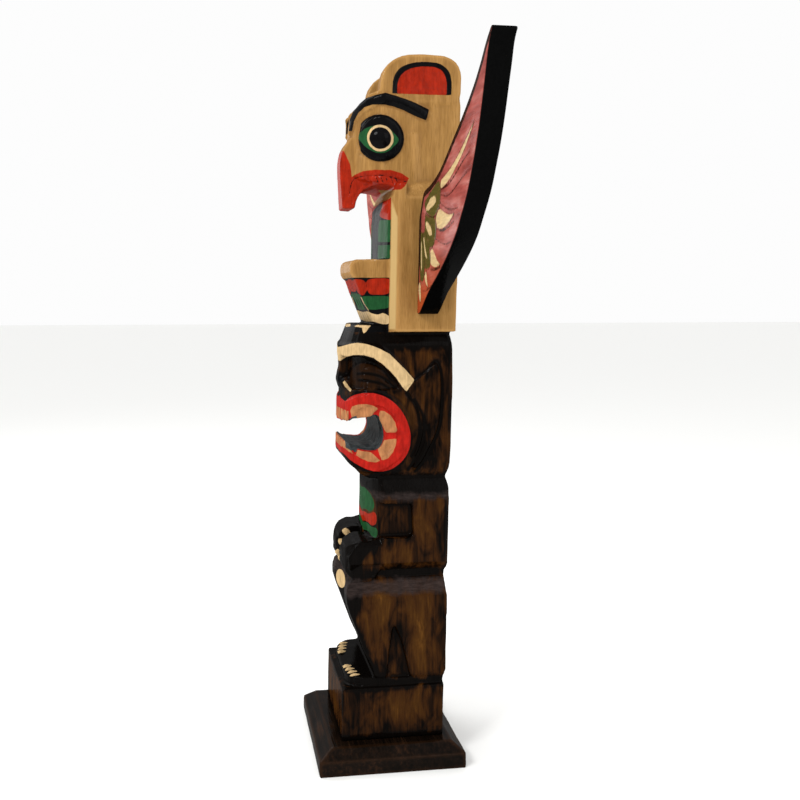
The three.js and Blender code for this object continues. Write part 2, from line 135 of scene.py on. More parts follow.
def lineDistance(u, v, points, closed=False):
    p = np.array(points, float)
    starts, ends = (p, np.roll(p, -1, 0)) if closed else (p[:-1], p[1:])
    best = np.full(u.shape, 1e9)
    for (a, b), (c, d) in zip(starts, ends):
        lx, ly = c - a, d - b
        t = np.clip(((u - a) * lx + (v - b) * ly) / (lx * lx + ly * ly + 1e-12), 0, 1)
        best = np.minimum(best, (u - a - t * lx) ** 2 + (v - b - t * ly) ** 2)
    return np.sqrt(best)


def insideDistance(u, v, points):  # below zero inside
    p = np.array(points, float)
    inside = np.zeros(u.shape, bool)
    for (a, b), (c, d) in zip(p, np.roll(p, -1, 0)):
        if b != d:
            inside ^= ((b > v) != (d > v)) & (u < (c - a) * (v - b) / (d - b) + a)
    away = lineDistance(u, v, p, True)
    return np.where(inside, -away, away)


def ovalDistance(u, v, middle, half):
    reach = np.sqrt(((u - middle[0]) / half[0]) ** 2 + ((v - middle[1]) / half[1]) ** 2)
    return (reach - 1) * min(half)


# The pole's outlines, in mm

poleShape = {
    "lean": math.tan(math.radians(1.2)),
    "foot": 17.8,
    "voxel": 1.0,
    "faces": 185000,
    "smoothing": 16,
    "toolMarks": 0.2,  # depth of the knife's facets
}

birdOutlines = {
    "crestBand": [(3.3, 472.6), (4, 481.8), (6.7, 487.9), (12.3, 492.1), (21.4, 494.5), (32.6, 494.6), (38.9, 492.7),
                  (43.2, 488.5), (45, 481.8), (44.8, 472.6)],
    "crestRed": [(6.8, 472), (7.1, 479.2), (9.5, 485.3), (15.1, 489.5), (22.8, 491.4), (31.9, 491.5), (37.5, 489.6),
                 (40.4, 485.7), (41.5, 480.3), (41.4, 472)],
    "brow": [(-26.9, 446.7), (-26.2, 454.1), (-23.8, 460.2), (-19.6, 465.7), (-14.8, 469.2), (-8.5, 471.4),
             (-1.6, 473.2), (4.6, 471.8), (12.3, 469.6), (20, 466.8), (29.2, 462.7), (27.1, 455.2), (20, 457.7),
             (11.6, 461.5), (3.9, 464.1), (-3, 465.2), (-10.6, 464.9), (-16.2, 462.8), (-20.3, 458.9),
             (-23.1, 453.5), (-24.5, 446.8)],
    "eyeMiddle": (-5, 442.5),
    "eyeBlack": (16.6, 16.0),
    "eyeGreen": [(-20.7, 443.5), (-16.9, 447.6), (-12.1, 450.1), (-5.8, 450.9), (0.4, 449.4), (4.6, 446.1),
                 (7.8, 441.5), (4.6, 437.3), (0.4, 433.8), (-4.5, 432.4), (-10, 433.3), (-14.9, 436.2),
                 (-18.3, 439.5)],
    "eyeCream": (9.2, 9.0),
    "eyePupil": (7.6, 7.4),
    "beakRed": [(-39.7, 433.6), (-30.1, 433.2), (-28, 428.5), (-26, 424.5), (-25.3, 419.1), (-24.9, 415.7),
                (-22.6, 417.5), (-17, 419.9), (-8.7, 421), (2.5, 421), (9.5, 419.1), (15.2, 415.7), (12.3, 410.2),
                (9.5, 407.8), (3.9, 407.4), (-7.3, 407), (-13.6, 406.6), (-18.4, 404.6), (-20.5, 401), (-22.6, 396.1),
                (-22.7, 390), (-40, 390)],
    "mouthTop": [(-26.4, 404.5), (-25.7, 409.6), (-24, 413.7), (-20.5, 415.5), (-14.9, 416.9), (-6.6, 417.5), (1.8, 416.5), (8.8, 414.3),
                 (13.8, 413)],
    "mouthLow": [(-24.6, 398), (-23.4, 402.5), (-20.6, 407.4), (-15.5, 411), (-8, 413), (1.8, 412.4), (7.4, 410.1)],
    "crease": [(-24, 431), (-14, 431.4), (-8, 429), (-1, 425.6)],
    "chestRed": [(-3.3, 405.3), (-1.9, 410), (8, 410), (8, 388.4), (-5.7, 388.1), (-4.7, 395.8)],
    "chestGreen": [
        [(-6.6, 386.2), (8, 386.6), (8, 371.6), (-7.7, 371.2), (-7.6, 379.5)],
        [(-7.6, 369.1), (8, 369.6), (8, 360.4), (-8.1, 360.2)],
    ],
    "tailRed": [
        [(-45, 345), (-26.4, 345.6), (-23.0, 338.4), (-24.3, 337.4), (-26.4, 337.2), (-45, 337.2)],
        [(-25.0, 345.4), (-18.1, 345.2), (-16.0, 341.9), (-15.7, 338.4), (-17.4, 335.3), (-19.5, 335.0),
         (-21.6, 336.7), (-23.3, 339.8)],
        [(-14.6, 345.6), (0.1, 346.2), (1.4, 342.6), (1.2, 338.4), (-1.7, 335.7), (-9.0, 335.3), (-13.2, 335.7),
         (-14.7, 338.4)],
    ],
    "tailGreen": [
        [(-45, 336), (-22.3, 336.0), (-19.9, 331.6), (-17.4, 326.1), (-18.8, 324.7), (-45, 324.7)],
        [(-19.1, 333.6), (-11.8, 334.3), (0.6, 334.0), (1.4, 331.5), (1.2, 327.4), (-3.5, 325.7), (-13.2, 325.0),
         (-16.0, 327.4)],
    ],
    "tailCream": [(-45, 323.4), (-19.5, 323.4), (-15.3, 323.8), (-11.9, 322.3), (-7.7, 321.6), (-4.2, 322.6),
                  (-0.7, 320.9), (1.6, 318.7), (0.8, 315.4), (-4.9, 315), (-9.8, 316.4), (-13.3, 316.8), (-45, 316.9)],
    # painted highlight: a thin cream line where the tail's front and side facets meet
    "tailEdgeHighlight": [(-19.6, 333.4), (-17.2, 328.6), (-14.2, 324.2)],
}

faceOutlines = {
    "brow": [(-40, 300.5), (-35.5, 299.2), (-27, 301.5), (-22, 302.1), (-15, 301), (-8, 298.5), (0, 294.5), (6, 288.6),
             (12, 282.6), (18, 275.8), (12.2, 267.6), (9, 271.5), (5, 277.5), (0, 283), (-5, 287.5), (-11, 291.5),
             (-18, 293.5), (-25, 293.7), (-30, 292.5), (-34, 290), (-40, 289)],
    "socket": [(-30.1, 293.8), (-25.9, 295), (-20.3, 294.8), (-14.7, 292.8), (-7.7, 288.8), (-0.7, 282.8), (5, 276),
               (8.5, 270.2), (5, 268.2), (-2.8, 269.7), (-12, 271.2), (-21.8, 270.7), (-27.4, 268.7), (-30.9, 272.2),
               (-32.3, 277.8), (-33.6, 284.7), (-32.9, 290.6)],
    "lidOver": [(-22, 280.6), (-16, 280.8), (-8, 279.2), (-2, 276), (3, 271)],
    "lidUnder": [(-21, 276.2), (-14, 275.4), (-6, 273.6), (0, 270)],
    "lidTop": [(-28.6, 277), (-27, 284), (-21, 288.6), (-13, 288), (-5, 284), (1, 277)],
    "nostril": [(-33.4, 276.2), (-32.0, 277.0), (-30.2, 274.6), (-26.5, 269.6), (-27.4, 268.2), (-31, 271.7)],
    "noseTip": [(-45, 278.6), (-32.3, 278.1), (-30.9, 276.4), (-33.3, 273.6), (-34.4, 270.9), (-45, 271)],
    "lipOuter": [(-50, 264), (-44.1, 265.4), (-35.8, 266.4), (-33.7, 263.9), (-30.9, 261.8), (-28.8, 263.5),
                 (-26, 265.2), (-20.4, 266.8), (-14.8, 267.2), (-9.9, 266.7), (-4.2, 264.8), (2.1, 261.2),
                 (7.8, 255.5), (12.1, 248.4), (14.9, 239.8), (15.3, 232.7), (13.5, 225), (9.2, 218.7), (3.5, 214.2),
                 (-2.9, 211.9), (-10, 211.9), (-16.4, 213.8), (-22.7, 217.1), (-28.3, 221), (-33.2, 225.7),
                 (-44.4, 230.6), (-50, 231)],
    "teeth": [
        [(-27.5, 254.7), (-26.1, 257.8), (-21.9, 259.2), (-16.2, 259.4), (-11.3, 258.3), (-7.4, 256.1),
         (-10.6, 253.7), (-13.4, 249.6), (-19.1, 249.3), (-23.3, 248.7), (-26.1, 249.1)],
        [(-6.4, 254.7), (-3.6, 254.3), (0.7, 251.4), (4.2, 246.4), (5.7, 240.7), (4.9, 239), (-2.2, 239.1),
         (-4.3, 243), (-7.1, 248.4), (-7.1, 252.9)],
        [(-3.6, 233.9), (5.3, 234.7), (4.9, 230.8), (2.8, 225.2), (-0.8, 220.7), (-5, 219.4), (-7.1, 224),
         (-8.2, 227.6), (-5.7, 229.7)],
        [(-22.7, 227.6), (-19.2, 226.5), (-13.5, 225.6), (-11.4, 224.1), (-6.4, 219.4), (-9.3, 218.1),
         (-14.9, 218.9), (-19.9, 221.2), (-23.4, 223.7)],
        [(-36, 236.4), (-33.9, 235.6), (-31.8, 232.4), (-29, 229.9), (-27.6, 228.1), (-25.5, 224.5), (-29, 226.7),
         (-32.5, 229.9), (-36, 233)],
        [(-33.8, 254.8), (-30.3, 254.4), (-29.6, 249.9), (-30, 245), (-32.4, 245.4), (-33.8, 248.5)],
    ],
    "hollow": [(-34.5, 245.1), (-30.3, 243.6), (-27.5, 245.3), (-24.7, 247.7), (-19.1, 249), (-13.4, 249.1),
               (-11.3, 250.2), (-7.8, 248.7), (-5.7, 244.5), (-3.6, 240.2), (-3.6, 236), (-5, 232.5), (-7.8, 229.7),
               (-7.8, 227.2), (-12.1, 225.9), (-19.1, 227.2), (-24.8, 229.4), (-28.3, 231.2), (-31.8, 233.4),
               (-34.6, 236), (-50, 238.2), (-50, 245.9)],
    "marks": [
        [(-25.1, 313.4), (-22.3, 314.5), (-12.6, 314), (-14, 312.9), (-18.9, 312.7)],
        [(-18.9, 312.3), (-16.1, 313.3), (-13.3, 313.6), (-16.1, 309.8), (-17.8, 308.4), (-18.6, 310.2)],
        [(-33, 315), (-27, 315.4), (-27, 313.4), (-33, 313)],
    ],
    "cheekLines": [
        [(18, 262), (23.4, 252), (25, 240), (22, 226), (13.6, 212.4)],
        [(12.6, 266.4), (18.4, 258), (21.6, 247), (21, 234), (16, 222)],
        [(17.5, 275.4), (26, 282), (33.8, 288.8), (37.8, 276), (37.4, 251), (35, 239), (30, 228), (24, 217),
         (18.6, 211)],
    ],
}

bodyOutlines = {
    "bellyTop": [(-30, 202), (-19.2, 201.3), (-16.4, 199.5), (-12.9, 195.1), (-10.8, 189.4), (-11.5, 184.7),
                 (-14.3, 183.4), (-17.9, 185.7), (-30, 186.2)],
    "bellyMiddle": [(-30, 184.5), (-18.6, 183.9), (-15, 181.9), (-10.8, 182.9), (-9.1, 179.3), (-9.8, 174.3),
                    (-12.9, 173.7), (-16.5, 176.7), (-30, 180)],
    "bellyLow": [(-30, 177.3), (-19.3, 176.4), (-15.8, 175.5), (-12.9, 172.6), (-9.4, 171.4), (-8.4, 167.8),
                 (-9.8, 164.6), (-12.9, 166.3), (-16.5, 170.3), (-30, 173)],
    "hand": [(-36, 134), (-36, 156), (-34, 162), (-29, 166.4), (-16, 167), (-10, 163), (-10, 156), (-17, 150),
             (-20, 142), (-20, 134)],
    "legFront": [(-30.6, 120.7), (-22, 94.2), (-10.4, 64.5)],
    "kneeMiddle": (20, 118.5),  # X and Z
    "kneeHalf": (8.6, 7.0),
}

claws = {
    "hand": {"start": (9.2, -26.6, 157.2), "step": (0.0, -3.0, -8.0), "count": 3, "size": (1.5, 3.2, 1.9), "roll": -42},
    "foot": {"start": (16.85, -28.0, 61.9), "step": (6.7, 1.2, 0.0), "count": 4, "size": (1.6, 3.2, 1.3), "roll": 0},
}


def clawRowTree(material):
    tree = bpy.data.node_groups.new("clawRow", "GeometryNodeTree")
    inputs = {"Count": "Int", "Start": "Vector", "Step": "Vector", "Claw size": "Vector", "Roll": "Float"}
    for name, kind in inputs.items():
        tree.interface.new_socket(name, in_out="INPUT", socket_type="NodeSocket" + kind)
    tree.interface.new_socket("Geometry", in_out="OUTPUT", socket_type="NodeSocketGeometry")
    given = addNode(tree, "NodeGroupInput").outputs
    row = addNode(tree, "GeometryNodeMeshLine", {
        "Count": given["Count"], "Start Location": given["Start"], "Offset": given["Step"],
    }, mode="OFFSET").outputs[0]
    claw = addNode(tree, "GeometryNodeMeshIcoSphere", {"Radius": 1.0, "Subdivisions": 3}).outputs[0]
    turn = addNode(tree, "ShaderNodeCombineXYZ", {"X": given["Roll"]}).outputs[0]
    placed = addNode(tree, "GeometryNodeInstanceOnPoints", {
        "Points": row, "Instance": claw, "Rotation": turn, "Scale": given["Claw size"],
    }).outputs[0]
    real = addNode(tree, "GeometryNodeRealizeInstances", {0: placed}).outputs[0]
    done = addNode(tree, "GeometryNodeSetMaterial", {"Geometry": real, "Material": material}).outputs[0]
    addNode(tree, "NodeGroupOutput", {0: done})
    return tree


def evaluatedMesh(holder):
    graph = bpy.context.evaluated_depsgraph_get()
    return bpy.data.meshes.new_from_object(holder.evaluated_get(graph))


def clawRow(tree, row, side):  # claws of one hand or foot, as a mesh in mm on the upright log
    holder = bpy.data.objects.new("clawRow", bpy.data.meshes.new("clawRow"))
    bpy.context.scene.collection.objects.link(holder)
    modifier = holder.modifiers.new("claws", "NODES")
    modifier.node_group = tree
    values = {"Count": row["count"], "Start": row["start"], "Step": row["step"], "Claw size": row["size"],
              "Roll": math.radians(row["roll"])}
    for item in tree.interface.items_tree:
        if item.in_out == "INPUT":
            modifier[item.identifier] = values[item.name]
    mesh = evaluatedMesh(holder)
    bpy.data.objects.remove(holder)
    flip = np.array((side, 1, 1))
    for vertex in mesh.vertices:
        vertex.co = Vector(flip * np.array(vertex.co))
    if side < 0:
        mesh.flip_normals()
    return mesh


# Mesh tools

def places(mesh):
    flat = np.empty(len(mesh.vertices) * 3, np.float64)
    mesh.vertices.foreach_get("co", flat)
    return flat.reshape(-1, 3)


def setPlaces(mesh, co):
    mesh.vertices.foreach_set("co", co.astype(np.float32).ravel())
    mesh.update()


def normalsOf(mesh):
    flat = np.empty(len(mesh.vertices) * 3, np.float32)
    mesh.vertex_normals.foreach_get("vector", flat)
    return flat.reshape(-1, 3).astype(np.float64)


def edgesOf(mesh):
    flat = np.empty(len(mesh.edges) * 2, np.int64)
    mesh.edges.foreach_get("vertices", flat)
    return flat.reshape(-1, 2)


def relax(values, edges, rounds, amounts=(0.5,)):  # moves each row towards the mean of its neighbours
    count = np.bincount(edges.ravel(), minlength=len(values))
    for turn in range(rounds):
        mean = np.empty_like(values)
        for axis in range(values.shape[1]):
            mean[:, axis] = (np.bincount(edges[:, 0], values[edges[:, 1], axis], len(values))
                             + np.bincount(edges[:, 1], values[edges[:, 0], axis], len(values))) / count
        values = values + amounts[turn % len(amounts)] * (mean - values)
    return values


def fieldNoise(co, size, seed):
    shift = Vector((seed * 7.3, seed * 3.1, seed * 5.7))
    return np.array([noise.noise(Vector(p) / size + shift) for p in co])


def storeField(mesh, name, values):
    layer = mesh.attributes.new(name, "FLOAT", "POINT")
    layer.data.foreach_set("value", np.clip(values, -6, 6).astype(np.float32))


def remeshed(name, parts, voxel):  # joins closed meshes (in mm) into one skin
    bm = bmesh.new()
    for part in parts:
        bm.from_mesh(part)
    bmesh.ops.remove_doubles(bm, verts=bm.verts, dist=1e-3)
    mesh = bpy.data.meshes.new(name)
    bm.to_mesh(mesh)
    bm.free()
    holder = bpy.data.objects.new(name, mesh)
    bpy.context.scene.collection.objects.link(holder)
    modifier = holder.modifiers.new("skin", "REMESH")
    modifier.mode = "VOXEL"
    modifier.voxel_size = voxel
    modifier.adaptivity = 0.0
    skin = evaluatedMesh(holder)
    bpy.data.objects.remove(holder)
    return skin


def thinned(name, mesh, faces, keep):  # keep is True for the points of painted edges
    holder = bpy.data.objects.new(name, mesh)
    bpy.context.scene.collection.objects.link(holder)
    mesh.calc_loop_triangles()
    group = holder.vertex_groups.new(name="thinHere")
    group.add(np.flatnonzero(~keep).tolist(), 1.0, "REPLACE")
    modifier = holder.modifiers.new("thin", "DECIMATE")
    modifier.ratio = min(1.0, faces / len(mesh.loop_triangles))
    modifier.vertex_group = group.name
    modifier.vertex_group_factor = 0.5
    result = evaluatedMesh(holder)
    bpy.data.objects.remove(holder)
    return result


def nodeCopy(name):  # a CAD node's mesh in mm, merged
    bm = bmesh.new()
    bm.from_mesh(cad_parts[name].data)
    bmesh.ops.remove_doubles(bm, verts=bm.verts, dist=1e-6)
    bmesh.ops.scale(bm, vec=(1000, 1000, 1000), verts=bm.verts)
    mesh = bpy.data.meshes.new(name + "Copy")
    bm.to_mesh(mesh)
    bm.free()
    return mesh


# Where a place on the pole is seen on the upright plane of its near side, so that a traced outline fits it
def seenOnSide(co, plane):
    side = np.abs(co[:, 0])
    k = (plane - side) / (viewing["place"][0] - side)
    u = co[:, 1] - (co[:, 1] - viewing["place"][1]) * k
    v = co[:, 2] + (viewing["place"][2] - co[:, 2]) * k
    return side, u, v


def furrow(distance, width, depth):
    return -depth * np.exp(-(distance / width) ** 2)


def carvePole(co, normals):
    side, u, v = seenOnSide(co, 48)
    _, headU, headV = seenOnSide(co, 42)
    z = co[:, 2]
    head, face = birdOutlines, faceOutlines
    depth = np.zeros(len(co))

    def groove(where, away, width, cutDepth):
        depth[where] += furrow(away[where], width, cutDepth)

    def along(a, b, line):
        return lineDistance(a, b, smoothLoop(line, 5, False))

    # bird's head: round the eye and the brow, the mouth with its short cuts, and the crease under the eye
    groove((z > 425) & (side > 20), np.abs(ovalDistance(headU, headV, head["eyeMiddle"], head["eyeBlack"])), 0.9, 0.7)
    groove(z > 425, np.abs(insideDistance(headU, headV, head["brow"]) - 0.6), 0.9, 0.45)
    onBeak = (z > 398) & (z < 428) & (side > 12)
    groove(onBeak, along(headU, headV, head["mouthTop"]), 0.8, 1.0)
    groove(onBeak, along(headU, headV, head["mouthLow"]), 0.7, 0.6)
    for start in np.arange(-17, 8, 3.4):
        groove(onBeak, lineDistance(headU, headV, [(start, 417), (start + 1.6, 412.4)]), 0.7, 0.6)
    groove((z > 415) & (side > 25), along(headU, headV, head["crease"]), 1.0, 0.6)
    # figure's head: eyelids, cheek leaves and the gaps between its teeth
    onFace = (z > 205) & (z < 306) & (side > 30)
    for name, width, cutDepth in (("lidOver", 1.1, 0.9), ("lidUnder", 1.0, 0.7), ("lidTop", 1.1, 0.9)):
        groove(onFace, along(u, v, face[name]), width, cutDepth)
    for line in face["cheekLines"]:
        groove(onFace, along(u, v, line), 1.3, 1.1)
    inMouth = (ovalDistance(u, v, (-11.4, 238.6), (17.6, 20.2)) < -0.3) & (z > 205) & (z < 270) & (side > 30)
    tooth = np.min([insideDistance(u, v, points) for points in face["teeth"]], 0)
    depth += np.where(inMouth, -0.9 * np.clip((tooth + 0.2) / 0.8, 0, 1), 0)
    return co + normals * depth[:, None]


def nailDistance(x, y, z):  # to the claws, which stand on the upright log
    nearest = np.full(x.shape, 9.0)
    for row in claws.values():
        half = np.array(row["size"]) + 0.5
        turn = math.radians(row["roll"])
        for number in range(row["count"]):
            middle = np.array(row["start"]) + number * np.array(row["step"])
            dy, dz = y - middle[1], z - middle[2]
            along = dy * math.cos(turn) + dz * math.sin(turn)
            across = dz * math.cos(turn) - dy * math.sin(turn)
            reach = np.sqrt(((x - middle[0]) / half[0]) ** 2 + (along / half[1]) ** 2 + (across / half[2]) ** 2)
            nearest = np.minimum(nearest, (reach - 1) * half.min())
    return nearest


def paintFields(co):  # the distance to the edge of each paint, below zero where it lies
    x, u, v = seenOnSide(co, 48)
    _, headU, headV = seenOnSide(co, 42)
    y, z = co[:, 1], co[:, 2]
    upright = y - poleShape["lean"] * (z - poleShape["foot"])
    head, face, body = birdOutlines, faceOutlines, bodyOutlines
    union, overlap = np.minimum.reduce, np.maximum.reduce

    def level(low, high):
        return np.maximum(low - z, z - high)

    def onHead(outline):
        return insideDistance(headU, headV, smoothLoop(outline, 5))

    def onCrest(outline):
        return insideDistance(headU, headV, smoothLoop(outline, 5, False))

    def onSide(outline):
        return insideDistance(u, v, smoothLoop(outline, 5))

    def ridge(line, half):
        return lineDistance(u, v, smoothLoop(line, 5, False)) - half

    birdWood = np.minimum(np.maximum(309.4 - z, -0.2 - y), 315.4 - z)
    eye = overlap([ovalDistance(headU, headV, head["eyeMiddle"], head["eyeBlack"]), 27 - x])
    chest = overlap([level(359.8, 409.6), upright + 5.7, -14 - upright])
    tail = overlap([level(309, 347.2), upright + 5.7])
    slots = overlap([union([np.abs(x - k) for k in (0, 6, 18)]) - 0.6, tail, upright + 10])
    slots = overlap([slots, x - 27])

    onFace = level(203, 275)
    lip = overlap([onSide(face["lipOuter"]), onFace])
    hollow = overlap([onSide(face["hollow"]), onFace])
    inside = overlap([x - 42.6, hollow - 3, upright + 4, -33.2 - upright])
    teeth = overlap([union([insideDistance(u, v, points) for points in face["teeth"]]), onFace, 20 - x])
    frontTeeth = overlap([np.abs(((x + 4.5) % 9) - 4.5) - 3.7, np.minimum(level(245.6, 253.4), level(226, 234)),
                          x - 36, upright + 30])
    socket = overlap([onSide(face["socket"]), level(262, 297)])

    grooves = union([level(134.2, 141), level(205.6, 209.2), level(54.6, 61),
                     overlap([level(298, 309.4), -0.5 - upright]), level(15, 21)])
    forehead = overlap([level(288, 309.4), u - 3])
    shoulders = level(193, 209)
    legEdge = overlap([lineDistance(u, v, body["legFront"]) - 3, level(60, 124)])
    kneeFront = overlap([level(106, 134), upright + 24])
    hands = overlap([level(132, 170), upright + 13, 7 - x])
    handSide = overlap([onSide(body["hand"]), level(134, 168)])
    hands = np.minimum(np.maximum(hands, x - 44), handSide)
    feet = overlap([level(54.6, 65), upright + 6])
    nose = overlap([level(264, 280), x - 14, upright + 26])

    black = union([
        overlap([insideDistance(headU, headV, head["brow"]), 430 - z]),
        overlap([onCrest(head["crestBand"]), level(472.8, 510), 38 - x]),
        eye, chest, tail,
    ])
    burned = union([grooves, forehead, shoulders, legEdge, kneeFront, hands, feet, nose,
                    overlap([lip - 2.2, onFace, u - 6])])
    # painted sheen: the varnish's grey reflection of the sky on the upward slopes of the thighs and shoulders
    sheen = union([level(122.4, 133.4), level(190.6, 195.6)])
    # painted highlight: a pale strip down the bird block's front corner, for light caught by its chamfer
    corner = overlap([-5.7 - upright, upright + 1.4 + np.maximum(z - 388, 0) * 0.3, level(311, 404)])
    red = union([
        overlap([onCrest(head["crestRed"]), level(472.8, 510), 38 - x]),
        overlap([insideDistance(headU, headV, head["beakRed"]), level(388, 438)]),
        overlap([chest, onSide(head["chestRed"])]),
        overlap([union([onSide(points) for points in head["tailRed"]]), tail]),
        overlap([onSide(body["bellyMiddle"]), level(160, 200), x - 46]),
    ])
    green = union([
        overlap([onHead(head["eyeGreen"]), 27 - x]),
        overlap([chest, union([insideDistance(u, v, points) for points in head["chestGreen"]])]),
        overlap([union([onSide(points) for points in head["tailGreen"]]), tail]),
        overlap([np.minimum(onSide(body["bellyTop"]), onSide(body["bellyLow"])), level(160, 206), x - 46]),
    ])
    cream = union([
        overlap([ovalDistance(headU, headV, head["eyeMiddle"], head["eyeCream"]), 27 - x]),
        overlap([insideDistance(u, v, face["brow"]), level(264, 304)]),
        overlap([insideDistance(u, v, face["nostril"]), level(262, 282)]),
        overlap([onSide(head["tailCream"]), tail]),
        # painted highlight along the tail's facet edge
        overlap([ridge(head["tailEdgeHighlight"], 0.22), tail]),
        nailDistance(x, upright, z),
        overlap([ovalDistance(x, z, body["kneeMiddle"], body["kneeHalf"]), upright + 22]),
        overlap([union([insideDistance(u, v, points) for points in face["marks"]]), level(303, 316)]),
    ])
    ink = union([
        overlap([ovalDistance(headU, headV, head["eyeMiddle"], head["eyePupil"]), 27 - x]),
        overlap([insideDistance(u, v, face["noseTip"]), level(264, 282)]),
        slots,
        overlap([lineDistance(headU, headV, smoothLoop(head["mouthTop"], 5, False)) - 0.3, level(398, 428), 12 - x]),
        overlap([lineDistance(headU, headV, smoothLoop(head["mouthLow"], 5, False)) - 0.1, level(396, 428), 12 - x]),
        overlap([union([lineDistance(headU, headV, [(k, 416), (k + 1.4, 412.6)]) for k in np.arange(-8, 8, 3.4)])
                 - 0.3, level(398, 428), 12 - x]),
    ])
    leafLines = overlap([union([ridge(line, 0) for line in face["cheekLines"]]), level(205, 296)])
    lids = overlap([union([ridge(face[name], 0) for name in ("lidOver", "lidUnder", "lidTop")]), socket])
    leaf = overlap([insideDistance(u, v, smoothLoop(face["cheekLines"][2], 5)), level(209, 290), 40 - x])
    # char with painted shade: a dark halo along the lip, socket, lid and leaf lines and round the burned zones
    sootAndShade = union([np.abs(lip), np.abs(socket), leafLines, lids, np.maximum(burned, 0)])
    fields = {"birdWood": birdWood, "paintBlack": black, "paintLip": lip, "paintRed": red, "paintGreen": green,
              "paintCream": cream, "paintTeeth": np.minimum(teeth, frontTeeth), "paintHole": inside, "paintInk": ink,
              "burned": burned, "knifeLines": np.minimum(leafLines, lids), "socket": socket, "leaf": leaf, "sootAndShade": sootAndShade,
              "sheen": sheen, "corner": corner}
    return fields


def storeHollows(mesh):  # above zero in carved hollows, below zero on edges, in mm
    co, edges = places(mesh), edgesOf(mesh)
    hollows = ((relax(co, edges, 14) - co) * normalsOf(mesh)).sum(1)
    storeField(mesh, "hollows", hollows)
    near = relax(np.abs(hollows)[:, None], edges, 50)[:, 0]
    storeField(mesh, "nearEdges", near)


def finishMesh(name, mesh, material):
    setPlaces(mesh, places(mesh) / 1000)
    mesh.materials.clear()
    mesh.materials.append(material)
    mesh.shade_smooth()
    piece = bpy.data.objects.new(name, mesh)
    bpy.context.scene.collection.objects.link(piece)
    return piece


def makePole(material):
    lean, foot = poleShape["lean"], poleShape["foot"]
    tree = clawRowTree(material)
    parts = [nodeCopy("pole")]
    for row in claws.values():
        for side in (1, -1):
            mesh = clawRow(tree, row, side)
            co = places(mesh)
            co[:, 1] += lean * (co[:, 2] - foot)
            setPlaces(mesh, co)
            parts.append(mesh)
    skin = remeshed("poleSkin", parts, poleShape["voxel"])
    edges = edgesOf(skin)
    setPlaces(skin, relax(places(skin), edges, poleShape["smoothing"], (0.5, -0.53)))
    setPlaces(skin, carvePole(places(skin), normalsOf(skin)))
    setPlaces(skin, relax(places(skin), edges, 2, (0.5, -0.4)))
    co, normals = places(skin), normalsOf(skin)
    marks = fieldNoise(co * (1, 1, 0.6), 9.0, 3) + 0.6 * fieldNoise(co * (1, 1, 0.5), 22.0, 5)
    low, high = (np.array(corner) * 1000 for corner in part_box("pole"))
    worked = np.where(co[:, 2] < foot + 4, 0, marks) * poleShape["toolMarks"]
    setPlaces(skin, np.clip(co + normals * worked[:, None], low, high))
    paint = paintFields(places(skin))
    keep = np.min([np.abs(values) for name, values in paint.items() if name.startswith("paint")], 0) < 1.2
    mesh = thinned("pole", skin, poleShape["faces"], keep)
    setPlaces(mesh, np.clip(places(mesh), low, high))
    for name, values in paintFields(places(mesh)).items():
        storeField(mesh, name, values)
    print("painted edges:", keep.sum(), "of", len(keep), "points, then", len(mesh.vertices), "points")
    storeHollows(mesh)
    return finishMesh("carvedPole", mesh, material)


# Wings: flat boards, painted on the front

wingShape = {
    "thickness": 14.0,
    "rows": 46,  # across the board
    "edge": 1.2,  # rounding of its edges
    "upper": [(50, 388), (59, 400), (66, 405.2), (88, 408), (110, 412.4), (131, 419.6), (155, 429.6), (177, 438.4),
              (191, 444.8), (205, 452.2), (218, 461.2), (229, 469), (237, 473.6)],
    "lower": [(50, 322), (58, 323), (86, 336.4), (113, 346.6), (140, 357.4), (162, 368.6), (178, 380), (191, 391),
              (202, 404), (211.4, 417.5), (218.6, 431), (224, 443), (228.6, 455), (233, 465), (238.5, 471.6)],
    "border": 5.0,  # width of the dark edge along the top of the front
}

